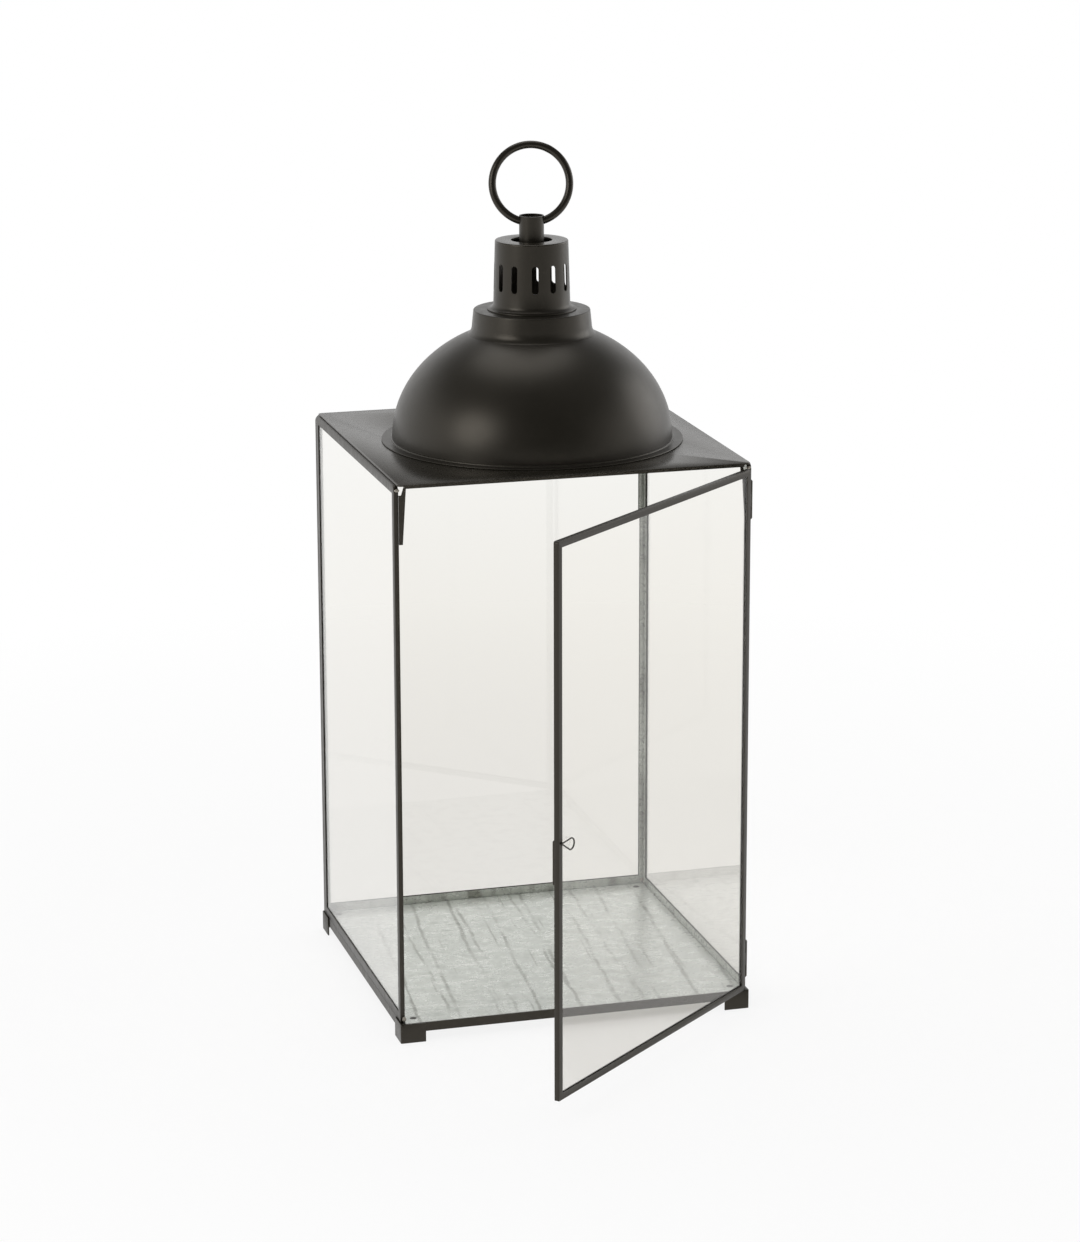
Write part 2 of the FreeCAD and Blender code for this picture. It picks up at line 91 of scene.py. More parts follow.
def smooth(piece, angle=30):
    makeActive(piece)
    bpy.ops.object.shade_smooth_by_angle(angle=math.radians(angle))


def turnAndPlace(piece, degrees, place):
    makeActive(piece)
    piece.rotation_euler = (0, 0, math.radians(degrees))
    piece.location = place
    bpy.ops.object.transform_apply(location=True, rotation=True, scale=True)


def newMaterial(name):
    material = bpy.data.materials.new(name)
    material.use_nodes = True
    tree = material.node_tree
    shader = tree.nodes["Principled BSDF"]
    return material, tree, shader


def addNode(tree, kind, **settings):
    node = tree.nodes.new(kind)
    for key, value in settings.items():
        if key in node.inputs:
            node.inputs[key].default_value = value
        else:
            setattr(node, key, value)
    return node


def placeOnPiece(tree, scale=(1, 1, 1), turn=(0, 0, 0)):
    coords = tree.nodes.new("ShaderNodeTexCoord")
    mapping = tree.nodes.new("ShaderNodeMapping")
    mapping.inputs["Scale"].default_value = scale
    mapping.inputs["Rotation"].default_value = [math.radians(angle) for angle in turn]
    tree.links.new(coords.outputs["Object"], mapping.inputs["Vector"])
    return mapping.outputs["Vector"]


def noiseOn(tree, vector, scale, detail=4.0, roughness=0.55, distortion=0.0):
    noise = addNode(tree, "ShaderNodeTexNoise", Scale=scale, Detail=detail, Roughness=roughness,
                    Distortion=distortion)
    tree.links.new(vector, noise.inputs["Vector"])
    return noise.outputs["Fac"]


def ramp(tree, source, stops):
    node = tree.nodes.new("ShaderNodeValToRGB")
    while len(node.color_ramp.elements) < len(stops):
        node.color_ramp.elements.new(0.5)
    for element, (position, colour) in zip(node.color_ramp.elements, stops):
        element.position = position
        element.color = colour if len(colour) == 4 else (*colour, 1)
    tree.links.new(source, node.inputs["Fac"])
    return node.outputs["Color"]


def remap(tree, source, low, high, newLow, newHigh):
    node = addNode(tree, "ShaderNodeMapRange")
    for key, value in zip(("From Min", "From Max", "To Min", "To Max"), (low, high, newLow, newHigh)):
        node.inputs[key].default_value = value
    tree.links.new(source, node.inputs["Value"])
    return node.outputs["Result"]


def mixColours(tree, factor, first, second, blend="MIX"):
    node = tree.nodes.new("ShaderNodeMix")
    node.data_type = "RGBA"
    node.blend_type = blend
    sockets = (node.inputs["Factor"], node.inputs[6], node.inputs[7])
    for socket, value in zip(sockets, (factor, first, second)):
        if isinstance(value, bpy.types.NodeSocket):
            tree.links.new(value, socket)
        else:
            socket.default_value = value if isinstance(value, (int, float)) else (*value, 1)
    return node.outputs[2]


def bumpFrom(tree, shader, height, strength, distance):
    bump = addNode(tree, "ShaderNodeBump", Strength=strength, Distance=distance)
    tree.links.new(height, bump.inputs["Height"])
    tree.links.new(bump.outputs["Normal"], shader.inputs["Normal"])


# warm black satin paint; the scales are in patches per metre
paintLook = {"dark": (0.0085, 0.0074, 0.0052), "light": (0.0135, 0.012, 0.0088),
             "rubbed": (0.03, 0.026, 0.019), "rubbedShare": 0.55, "sheen": (1.0, 0.91, 0.78),
             "grainScale": 900, "grainStrength": 0.35, "grainHeight": 0.00002,
             "cloudScale": 22, "patchScale": 9, "roughLow": 0.3, "roughHigh": 0.4}


def makePaint(name, look, streak=(1, 1, 1)):
    material, tree, shader = newMaterial(name)
    vector = placeOnPiece(tree, streak)
    cloud = noiseOn(tree, vector, look["cloudScale"], 5)
    grain = noiseOn(tree, placeOnPiece(tree), look["grainScale"], 2)
    patches = noiseOn(tree, vector, look["cloudScale"] * look["patchScale"], 6, 0.7)
    body = ramp(tree, cloud, [(0.3, look["dark"]), (0.72, look["light"])])
    worn = remap(tree, patches, 0.62, 0.78, 0.0, look["rubbedShare"])
    tree.links.new(mixColours(tree, worn, body, look["rubbed"]), shader.inputs["Base Color"])
    gloss = remap(tree, patches, 0.3, 0.7, look["roughLow"], look["roughHigh"])
    tree.links.new(gloss, shader.inputs["Roughness"])
    shader.inputs["Specular Tint"].default_value = (*look["sheen"], 1)
    bumpFrom(tree, shader, grain, look["grainStrength"], look["grainHeight"])
    return material


zincLook = {"pale": (0.62, 0.64, 0.605), "mid": (0.47, 0.495, 0.458), "dark": (0.17, 0.175, 0.15),
            "spangleScale": 190, "spangleShare": 0.22, "mottleScale": 130, "stainScale": 11,
            "stainShare": 0.5, "grimeShadeScale": 60, "grimeShadeShare": 0.8, "jitter": 0.02, "jitterScale": 90,
            "fineScale": 520, "fineStrength": 0.2, "fineHeight": 0.00005,
            "metal": 0.45, "roughLow": 0.2, "roughHigh": 0.36}


def makeZinc(name, look, scratched):
    material, tree, shader = newMaterial(name)
    vector = placeOnPiece(tree)
    mottle = noiseOn(tree, placeOnPiece(tree, (0.55, 1, 1)), look["mottleScale"], 8, 0.72, 0.3)
    colour = ramp(tree, mottle, [(0.36, look["mid"]), (0.62, look["pale"])])
    spangle = addNode(tree, "ShaderNodeTexVoronoi", Scale=look["spangleScale"], Randomness=1.0)
    shaken = mixColours(tree, look["jitter"], vector, noiseColour(tree, vector, look["jitterScale"]))
    tree.links.new(shaken, spangle.inputs["Vector"])
    grains = ramp(tree, spangle.outputs["Color"], [(0.2, look["mid"]), (0.8, look["pale"])])
    colour = mixColours(tree, look["spangleShare"], colour, grains)
    stains = noiseOn(tree, vector, look["stainScale"], 8, 0.62, 0.4)
    colour = mixColours(tree, remap(tree, stains, 0.48, 0.72, 0.0, look["stainShare"]), colour, look["mid"])
    fine = noiseOn(tree, placeOnPiece(tree, (0.4, 1, 1)), look["fineScale"], 3, 0.6)
    if scratched:
        colour = addScratches(tree, colour, look)
    else:
        # dark vertical streaks from noise: on the frames' bare zinc they are partly grime and partly
        # painted shade, on the solder they are flux stains
        grimeShadeNoise = noiseOn(tree, placeOnPiece(tree, (1, 1, 0.25)), look["grimeShadeScale"], 6, 0.65)
        grimeShadeMask = remap(tree, grimeShadeNoise, 0.5, 0.66, 0.0, look["grimeShadeShare"])
        colour = mixColours(tree, grimeShadeMask, colour, look["dark"])
    tree.links.new(colour, shader.inputs["Base Color"])
    shader.inputs["Metallic"].default_value = look["metal"]
    gloss = remap(tree, mottle, 0.35, 0.7, look["roughHigh"], look["roughLow"])
    tree.links.new(gloss, shader.inputs["Roughness"])
    bumpFrom(tree, shader, fine, look["fineStrength"], look["fineHeight"])
    return material


def noiseColour(tree, vector, scale):
    noise = addNode(tree, "ShaderNodeTexNoise", Scale=scale, Detail=3.0)
    tree.links.new(vector, noise.inputs["Vector"])
    return noise.outputs["Color"]


# three sets of lines: gap and width in metres, lean in degrees, wander in metres, share missing
scratchLook = {"lines": ((0.027, 0.0032, 5.5, 0.0045, 0.41),
                         (0.043, 0.0028, 3.5, 0.006, 0.43),
                         (0.019, 0.0017, 4.5, 0.002, 0.49)),
               "raggedness": 0.7, "wanderLength": 0.07, "phaseStep": 1.7, "breakScale": 30,
               "breakStep": 9, "fray": 0.14, "depth": 0.62}


def multiply(tree, first, second):
    node = addNode(tree, "ShaderNodeMath", operation="MULTIPLY")
    for socket, value in zip(node.inputs, (first, second)):
        if isinstance(value, bpy.types.NodeSocket):
            tree.links.new(value, socket)
        else:
            socket.default_value = value
    return node.outputs[0]


# Long thin lines that run from the back of the tray to its front and wander a little.
# Blender's wave texture repeats every 2 pi / (20 * scale) metres.
def addScratches(tree, colour, look):
    for number, (gap, width, lean, wander, missing) in enumerate(scratchLook["lines"]):
        scale = 2 * math.pi / (20 * gap)
        bend = wander / gap * 2 * math.pi
        wave = addNode(tree, "ShaderNodeTexWave", Scale=scale, Distortion=bend, Detail=4.0)
        wave.inputs["Detail Scale"].default_value = 1 / (scratchLook["wanderLength"] * scale)
        wave.inputs["Detail Roughness"].default_value = scratchLook["raggedness"]
        wave.inputs["Phase Offset"].default_value = number * scratchLook["phaseStep"]
        wave.bands_direction = "X"
        tree.links.new(placeOnPiece(tree, (1, 1, 1), (0, 0, lean)), wave.inputs["Vector"])
        edge = 0.5 + 0.5 * math.cos(math.pi * width / gap)
        line = remap(tree, wave.outputs["Fac"], edge, 1.0, 0.0, 1.0)
        breakScale = scratchLook["breakScale"] + scratchLook["breakStep"] * number
        patches = noiseOn(tree, placeOnPiece(tree, (1, 0.3, 1), (0, 0, lean)), breakScale, 4, 0.6)
        broken = remap(tree, patches, missing, missing + scratchLook["fray"], 0.0, 1.0)
        seen = multiply(tree, multiply(tree, line, broken), scratchLook["depth"])
        colour = mixColours(tree, seen, colour, look["dark"])
    return colour


glassLook = {"tint": (0.99, 0.985, 0.972), "ior": 1.48}


# Clear glass that lets the lamps through, so that what stands inside is lit.
def makeGlass(name, look):
    material, tree, shader = newMaterial(name)
    shader.inputs["Transmission Weight"].default_value = 1
    shader.inputs["Roughness"].default_value = 0.0
    shader.inputs["IOR"].default_value = look["ior"]
    shader.inputs["Base Color"].default_value = (*look["tint"], 1)
    rays = tree.nodes.new("ShaderNodeLightPath")
    clear = addNode(tree, "ShaderNodeBsdfTransparent", Color=(*look["tint"], 1))
    mix = tree.nodes.new("ShaderNodeMixShader")
    tree.links.new(rays.outputs["Is Shadow Ray"], mix.inputs["Fac"])
    tree.links.new(shader.outputs["BSDF"], mix.inputs[1])
    tree.links.new(clear.outputs["BSDF"], mix.inputs[2])
    tree.links.new(mix.outputs["Shader"], tree.nodes["Material Output"].inputs["Surface"])
    return material


channelLook = dict(paintLook, cloudScale=40, rubbed=(0.06, 0.053, 0.038), roughLow=0.3, roughHigh=0.44)
domeLook = dict(paintLook, cloudScale=12, rubbed=(0.02, 0.018, 0.014), roughLow=0.34, roughHigh=0.38)
plateLook = dict(paintLook, cloudScale=30, light=(0.019, 0.0165, 0.012), rubbed=(0.023, 0.02, 0.015),
                 roughLow=0.25, roughHigh=0.29, grainHeight=0.000004)
wireLook = dict(paintLook, rubbed=(0.06, 0.055, 0.045), roughLow=0.22, roughHigh=0.34)
rivetLook = dict(paintLook, rubbed=(0.2, 0.19, 0.17), roughLow=0.35, roughHigh=0.5)
solderLook = dict(zincLook, pale=(0.5, 0.48, 0.42), mid=(0.2, 0.16, 0.12), dark=(0.06, 0.04, 0.03),
                  stainScale=260, spangleScale=600, mottleScale=500)
frameZincLook = dict(zincLook, pale=(0.46, 0.475, 0.44), mid=(0.34, 0.355, 0.32), dark=(0.13, 0.13, 0.105),
                     spangleScale=420, mottleScale=320)

blackPaint = makePaint("blackSatinPaint", paintLook)
channelPaint = makePaint("brushedChannelPaint", channelLook, (1, 1, 0.3))
domePaint = makePaint("spunDomePaint", domeLook)
platePaint = makePaint("sheetPlatePaint", plateLook)
wirePaint = makePaint("ringWirePaint", wireLook)
rivetPaint = makePaint("rivetPaint", rivetLook)
solder = makeZinc("cornerSolder", solderLook, False)
bareZinc = makeZinc("bareZinc", frameZincLook, False)
trayZinc = makeZinc("scratchedTrayZinc", zincLook, True)
clearGlass = makeGlass("clearPaneGlass", glassLook)
print("materials made")


def dress(names, material):
    for name in names:
        slots = nodes[name].material_slots
        for slot in slots:
            slot.link = "OBJECT"
            slot.material = material


def finishPiece(piece, body, replaced, materials):
    for material in materials:
        piece.data.materials.append(material)
    if replaced:
        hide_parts(*replaced)
    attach(piece, body)


# folded channels round each pane, in millimetres
channels = {"height": 360.4, "face": 5.8, "depth": 3.0, "wall": 0.5, "corner": 4.5, "edgeRound": 0.45,
            "sideWidth": 227.0, "backWidth": 238.0}
doorChannels = {"height": 357.2, "face": 4.3, "depth": 3.6, "wall": 0.6, "corner": 1.5, "edgeRound": 0.5,
                "width": 232.6, "middle": -1.2, "outer": -117.9, "bottom": 0.4, "angle": 41.7,
                "hinge": (117.2, -116.1)}


# A ring of U-shaped channel, open towards the pane, standing on the ground with its outer side at Y = 0.
def buildChannelRing(name, width, values):
    half = width / 2 * mm
    height = values["height"] * mm
    depth = values["depth"] * mm
    wall = values["wall"] * mm
    face = values["face"] * mm
    ring = addBlock(name, (2 * half, depth, height), (0, depth / 2, height / 2))
    bpy.ops.object.mode_set(mode="EDIT")
    pickFaces(ring, lambda place, normal: abs(normal.y) > 0.9)
    bpy.ops.mesh.inset(thickness=face)
    bpy.ops.mesh.bridge_edge_loops()
    pickFaces(ring, lambda place, normal: isInnerWall(place, normal, half, height, face))
    bpy.ops.mesh.inset(thickness=wall)
    bpy.ops.mesh.extrude_region_shrink_fatten(
        TRANSFORM_OT_shrink_fatten={"value": -(face - wall), "use_even_offset": True})
    for inset in (0.0, wall):
        pickEdges(ring, lambda a, b: isTopCorner(a, b, half - inset, height - inset))
        bpy.ops.mesh.bevel(offset=values["corner"] * mm - inset, segments=7, affect="EDGES")
    bpy.ops.mesh.select_all(action="SELECT")
    bpy.ops.mesh.normals_make_consistent(inside=False)
    bpy.ops.object.mode_set(mode="OBJECT")
    applyBevel(ring, values["edgeRound"] * mm * 0.5, 2, 50)
    smooth(ring)
    return ring


def isInnerWall(place, normal, half, height, face):
    inside = abs(place.x) < half - face / 2 and face / 2 < place.z < height - face / 2
    return inside and abs(normal.y) < 0.1


def isTopCorner(a, b, x, z):
    same = abs(a.x - b.x) < 1e-6 and abs(a.z - b.z) < 1e-6
    return same and abs(abs(a.x) - x) < 1e-5 and abs(a.z - z) < 1e-5


# The side of each strip that looks into the lantern was never painted.
def bareInside(ring, depth):
    for face in ring.data.polygons:
        if face.normal.y > 0.7 and face.center.y > depth * mm * 0.8:
            face.material_index = 1


def buildPaneFrames(values):
    places = {"left": (values["sideWidth"], -90, (-119.0, 0.5), ("rear", "front", "bottom", "top")),
              "right": (values["sideWidth"], 90, (119.0, 0.5), ("rear", "front", "bottom", "top")),
              "back": (values["backWidth"], 180, (0.0, 117.0), ("left", "right", "bottom", "top"))}
    for side, (width, degrees, place, strips) in places.items():
        ring = buildChannelRing(side + "PaneFrame", width, values)
        finishPiece(ring, "lantern", [side + "_channel_" + strip for strip in strips],
                    [channelPaint, bareZinc])
        bareInside(ring, values["depth"])
        ring.parent = None
        turnAndPlace(ring, degrees, (place[0] * mm, place[1] * mm, 0))
        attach(ring, "lantern")


def buildDoorFrame(values):
    ring = buildChannelRing("doorFrame", values["width"], values)
    finishPiece(ring, "door",
                ["door_stile_free", "door_stile_hinge", "door_rail_bottom", "door_rail_top"],
                [channelPaint, bareZinc])
    bareInside(ring, values["depth"])
    ring.parent = None
    hinge = Vector((values["hinge"][0] * mm, values["hinge"][1] * mm, 0))
    closed = Vector((values["middle"] * mm, values["outer"] * mm, values["bottom"] * mm)) - hinge
    a = math.radians(values["angle"])
    opened = Vector((closed.x * math.cos(a) - closed.y * math.sin(a),
                     closed.x * math.sin(a) + closed.y * math.cos(a), closed.z))
    turnAndPlace(ring, values["angle"], hinge + opened)
    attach(ring, "door")


# where the roof sits, a little off the middle of the plate
roof = {"x": 2.4, "y": -3.0}
plate = {"low": 360.4, "thickness": 1.0, "x": 117.5, "front": -117.0, "back": 115.5,
         "corner": 3.0, "edgeRound": 0.3, "vent": 84.0, "ventSides": 128}


def buildTopPlate(values):
    front, back, thickness = values["front"], values["back"], values["thickness"]
    size = (2 * values["x"] * mm, (back - front) * mm, thickness * mm)
    height = (values["low"] + thickness / 2) * mm
    sheet = addBlock("topSheet", size, (0, (back + front) / 2 * mm, height))
    bpy.ops.object.mode_set(mode="EDIT")
    pickEdges(sheet, lambda a, b: abs(a.z - b.z) > 0.5 * thickness * mm)
    bpy.ops.mesh.bevel(offset=values["corner"] * mm, segments=6, affect="EDGES")
    bpy.ops.object.mode_set(mode="OBJECT")
    deselectAll()
    bpy.ops.mesh.primitive_cylinder_add(vertices=values["ventSides"], radius=values["vent"] * mm,
                                        depth=20 * mm, location=(roof["x"] * mm, roof["y"] * mm, height))
    cutter = bpy.context.object
    cutAway(sheet, cutter)
    applyBevel(sheet, values["edgeRound"] * mm, 2, 50)
    smooth(sheet)
    finishPiece(sheet, "lantern", ["top_plate"], [platePaint])


# The cutter is deleted once it has cut.
def cutAway(piece, cutter):
    makeActive(piece)
    cut = piece.modifiers.new("cut", "BOOLEAN")
    cut.operation = "DIFFERENCE"
    cut.solver = "EXACT"
    cut.object = cutter
    bpy.ops.object.modifier_apply(modifier=cut.name)
    deselectAll()
    cutter.select_set(True)
    bpy.ops.object.delete()


# A profile of (radius, height) points in millimetres is drawn point by point, then spun.
def spinProfile(name, profile, steps, angle=32):
    deselectAll()
    bpy.ops.mesh.primitive_plane_add(size=0.001, location=(0, 0, 0))
    piece = bpy.context.object
    piece.name = name
    bpy.ops.object.mode_set(mode="EDIT")
    bpy.ops.mesh.select_mode(type="VERT")
    bpy.ops.mesh.select_all(action="SELECT")
    bpy.ops.mesh.merge(type="CENTER")
    places = [Vector((radius * mm, 0, height * mm)) for radius, height in profile]
    bpy.ops.transform.translate(value=places[0])
    for first, second in zip(places, places[1:]):
        bpy.ops.mesh.extrude_region_move(TRANSFORM_OT_translate={"value": second - first})
    bpy.ops.mesh.select_all(action="SELECT")
    bpy.ops.mesh.spin(steps=steps, angle=math.radians(360), center=(0, 0, 0), axis=(0, 0, 1))
    bpy.ops.mesh.select_all(action="SELECT")
    bpy.ops.mesh.remove_doubles(threshold=0.000002)
    bpy.ops.mesh.normals_make_consistent(inside=False)
    bpy.ops.object.mode_set(mode="OBJECT")
    smooth(piece, angle)
    return piece


def curvedRun(start, end, bulge, count=6):
    middle = ((start[0] + end[0]) / 2 + bulge[0], (start[1] + end[1]) / 2 + bulge[1])
    points = []
    for step in range(1, count + 1):
        t = step / count
        near, mid, far = (1 - t) ** 2, 2 * t * (1 - t), t * t
        points.append((start[0] * near + middle[0] * mid + end[0] * far,
                       start[1] * near + middle[1] * mid + end[1] * far))
    return points


domeShape = {"radius": 93.2, "height": 77.4, "wall": 0.8, "start": 363.2, "top": 38.3,
             "plateTop": 361.4, "lift": 0.02, "brimEdge": 100.4, "brimThickness": 0.8, "beadEdge": 94.3,
             "rows": 34, "steps": 144}


# The brim and bead are rounded by a few tenths of a millimetre.
def buildDome(values):
    wall, radius, start, rise = (values[key] for key in ("wall", "radius", "start", "height"))
    outer = []
    inner = []
    lastAngle = math.acos(values["top"] / radius)
    for row in range(values["rows"] + 1):
        angle = lastAngle * row / values["rows"]
        outer.append((radius * math.cos(angle), start + rise * math.sin(angle)))
        inner.append(((radius - wall) * math.cos(angle), start + (rise - wall) * math.sin(angle)))
    low = values["plateTop"] + values["lift"]
    brimTop = low + values["brimThickness"]
    brimFoot = (values["brimEdge"] - 0.3, low)
    brimHead = (values["brimEdge"] - 0.4, brimTop)
    beadFoot = (values["beadEdge"] + 0.5, brimTop - 0.08)
    beadHead = (values["beadEdge"] - 0.1, brimTop + 0.35)
    profile = [(radius - wall, low), brimFoot]
    profile += curvedRun(brimFoot, brimHead, (0.45, 0), 5)
    profile += [beadFoot]
    profile += curvedRun(beadFoot, beadHead, (-0.3, -0.2), 4)
    profile += curvedRun(beadHead, outer[0], (0.55, 0.3), 6)
    profile += outer[1:] + inner[::-1]
    profile.append(profile[0])
    dome = spinProfile("spunDome", profile, values["steps"], 40)
    turnAndPlace(dome, 0, (roof["x"] * mm, roof["y"] * mm, 0))
    finishPiece(dome, "lantern", ["dome"], [domePaint])


collarShape = {"low": 433.64, "top": 448.44, "radius": 39.7, "topRadius": 38.7, "wall": 0.8, "bore": 23.5,
               "lip": 0.9, "cove": 5.0, "footDrop": 2.75, "steps": 128}


def buildCollar(values):
    low, top, cove, lip = values["low"], values["top"], values["cove"], values["lip"]
    topRadius, wall = values["topRadius"], values["wall"]
    foot = (values["radius"] + cove, low - values["footDrop"])
    wallFoot = (values["radius"] - 0.1, low + cove)
    lipFoot = (topRadius, top - lip)
    profile = [(values["radius"] - wall, low), foot]
    profile += curvedRun(foot, wallFoot, (-cove / 2, -cove / 2 + 0.3), 6)
    profile += curvedRun(wallFoot, lipFoot, (0.0, 0.0), 3)
    profile += curvedRun(lipFoot, (topRadius - lip, top), (lip / 2, lip / 2), 5)
    profile += [(values["bore"], top), (values["bore"], top - wall), (topRadius - wall, top - wall)]
    profile.append(profile[0])
    collar = spinProfile("domeCollar", profile, values["steps"], 35)
    turnAndPlace(collar, 0, (roof["x"] * mm, roof["y"] * mm, 0))
    finishPiece(collar, "lantern", ["dome_collar"], [blackPaint])


# the photograph's slots are unevenly spaced; their turns are in degrees from the front
chimneyShape = {"low": 448.44, "top": 493.24, "radius": 25.4, "topRadius": 24.2, "wall": 0.8,
                "flare": 4.1, "flareHeight": 3.6, "lift": 0.02, "steps": 144,
                "slotWidth": 4.4, "slotLength": 18.2, "slotStart": 13.6,
                "slotTurns": (-101.6, -70.0, -43.0, -10.2, 18.9, 47.4, 72.4,
                              98.4, 126.9, 151.9, 180.9, 210.4, 234.4)}


def buildChimney(values):
    low, top, wall, radius = values["low"], values["top"], values["wall"], values["radius"]
    flare, rise, lift = values["flare"], values["flareHeight"], values["lift"]
    outerFoot = (radius + flare, low + lift)
    outerRim = (radius + flare, low + 0.75)
    outerNeck = (radius, low + rise + wall)
    innerNeck = (radius - wall, low + rise)
    innerFoot = (radius + flare - wall, low + lift)
    profile = [outerFoot]
    profile += curvedRun(outerFoot, outerRim, (0.15, 0), 3)
    profile += curvedRun(outerRim, outerNeck, (-flare / 2 + 0.4, -rise / 2 + 0.4), 8)
    profile += curvedRun(outerNeck, (values["topRadius"], top), (0, 0), 4)
    profile += curvedRun((values["topRadius"] - wall, top), innerNeck, (0, 0), 1)
    profile.insert(len(profile) - 1, (values["topRadius"] - wall, top))
    profile += curvedRun(innerNeck, innerFoot, (-flare / 2 + 0.4, -rise / 2 + 0.4), 6)
    profile.append(profile[0])
    chimney = spinProfile("slottedChimney", profile, values["steps"], 35)
    for degrees in values["slotTurns"]:
        cutAway(chimney, slotCutter(values, degrees))
    turnAndPlace(chimney, 0, (roof["x"] * mm, roof["y"] * mm, 0))
    smooth(chimney, 35)
    finishPiece(chimney, "lantern", ["chimney"], [blackPaint])


def slotCutter(values, degrees):
    half = values["slotWidth"] / 2 * mm
    length = values["slotLength"] * mm
    middle = (values["low"] + values["slotStart"]) * mm + length / 2
    cutter = addBlock("slotCutter", (2 * half, 30 * mm, length), (0, -18 * mm, middle))
    bpy.ops.object.mode_set(mode="EDIT")
    pickEdges(cutter, lambda a, b: abs(a.y - b.y) > 10 * mm)
    bpy.ops.mesh.bevel(offset=half * 0.98, segments=7, affect="EDGES")
    bpy.ops.object.mode_set(mode="OBJECT")
    turnAndPlace(cutter, degrees, (0, 0, 0))
    return cutter


capShape = {"low": 493.24, "top": 494.44, "radius": 24.2, "hole": 13.6, "edge": 0.9, "skirt": 3.0,
            "wall": 0.8, "gap": 0.2, "steps": 128}


def buildCap(values):
    low, top, edge, radius, hole = (values[key] for key in ("low", "top", "edge", "radius", "hole"))
    skirtOuter = radius - values["wall"] - values["gap"]
    skirtInner = skirtOuter - values["wall"]
    skirtLow = low - values["skirt"]
    profile = [(skirtOuter, low), (radius, low + 0.02), (radius, top - edge)]
    profile += curvedRun((radius, top - edge), (radius - edge, top), (edge / 2, edge / 2), 5)
    profile += [(hole + 0.3, top)]
    profile += curvedRun((hole + 0.3, top), (hole, top - 0.3), (-0.15, 0.15), 3)
    profile += [(hole, low), (skirtInner, low), (skirtInner, skirtLow), (skirtOuter, skirtLow)]
    profile.append(profile[0])
    cap = spinProfile("chimneyCap", profile, values["steps"], 35)
    turnAndPlace(cap, 0, (roof["x"] * mm, roof["y"] * mm, 0))
    finishPiece(cap, "lantern", ["chimney_cap"], [platePaint])


# the hanging ring is a bent wire whose ends meet in a weld
ringShape = {"radius": 25.4, "wire": 2.5, "heading": -12.0, "lean": 12.0, "pivot": 507.036,
             "centre": 531.209, "steps": 144, "wireSides": 28, "weldAngle": 62, "weldWidth": 1.6,
             "weldSwell": 0.06}


def buildRing(values):
    deselectAll()
    bpy.ops.mesh.primitive_torus_add(major_radius=values["radius"] * mm, minor_radius=values["wire"] * mm,
                                     major_segments=values["steps"], minor_segments=values["wireSides"],
                                     location=(0, 0, 0))
    ring = bpy.context.object
    ring.name = "carryingRing"
    bpy.ops.object.mode_set(mode="EDIT")
    weld = math.radians(values["weldAngle"])
    spread = values["weldWidth"] / values["radius"]
    pickFaces(ring, lambda place, normal: abs(math.atan2(place.y, place.x) - weld) < spread / 2)
    bpy.ops.transform.shrink_fatten(value=values["weldSwell"] * mm)
    bpy.ops.object.mode_set(mode="OBJECT")
    ring.rotation_euler = (math.radians(90), 0, 0)
    ring.location = (0, 0, (values["centre"] - values["pivot"]) * mm)
    bpy.ops.object.transform_apply(location=True, rotation=True, scale=True)
    ring.rotation_euler = (math.radians(-values["lean"]), 0, math.radians(values["heading"]))
    ring.location = (roof["x"] * mm, roof["y"] * mm, values["pivot"] * mm)
    bpy.ops.object.transform_apply(location=True, rotation=True, scale=True)
    smooth(ring, 60)
    finishPiece(ring, "ring", ["hanging_ring"], [wirePaint])


feet = {"halfWidth": 120.0, "halfDepth": 118.0, "leg": 17.0, "height": 13.0, "wall": 1.0, "bend": 0.9,
        "edgeRound": 0.25}


# Each foot is bent at the front left corner, then mirrored to its own.
def buildFeet(values):
    names = {(-1, -1): "foot_front_left", (1, -1): "foot_front_right",
             (-1, 1): "foot_back_left", (1, 1): "foot_back_right"}
    x, y, leg, wall = (values[key] * mm for key in ("halfWidth", "halfDepth", "leg", "wall"))
    height = values["height"] * mm
    for (side, end), node in names.items():
        foot = addBlock(node + "Angle", (leg, wall, height), (-x + leg / 2, -y + wall / 2, -height / 2))
        bpy.ops.object.mode_set(mode="EDIT")
        bpy.ops.mesh.select_all(action="SELECT")
        bpy.ops.mesh.bisect(plane_co=(-x + wall, 0, 0), plane_no=(1, 0, 0))
        pickFaces(foot, lambda place, normal: normal.y > 0.9 and place.x < -x + wall)
        bpy.ops.mesh.extrude_region_move(TRANSFORM_OT_translate={"value": (0, leg - wall, 0)})
        pickEdges(foot, lambda a, b: isBend(a, b, -x, -y))
        bpy.ops.mesh.bevel(offset=values["bend"] * mm, segments=5, affect="EDGES")
        bpy.ops.object.mode_set(mode="OBJECT")
        applyBevel(foot, values["edgeRound"] * mm, 2, 50)
        foot.scale = (-side, -end, 1)
        bpy.ops.object.transform_apply(location=True, rotation=True, scale=True)
        bpy.ops.object.mode_set(mode="EDIT")
        bpy.ops.mesh.select_all(action="SELECT")
        bpy.ops.mesh.normals_make_consistent(inside=False)
        bpy.ops.object.mode_set(mode="OBJECT")
        smooth(foot)
        finishPiece(foot, "lantern", [node], [blackPaint])


def isBend(a, b, x, y):
    near = max(abs(a.x - x), abs(b.x - x), abs(a.y - y), abs(b.y - y))
    return near < 1e-5 and abs(a.z - b.z) > 5 * mm


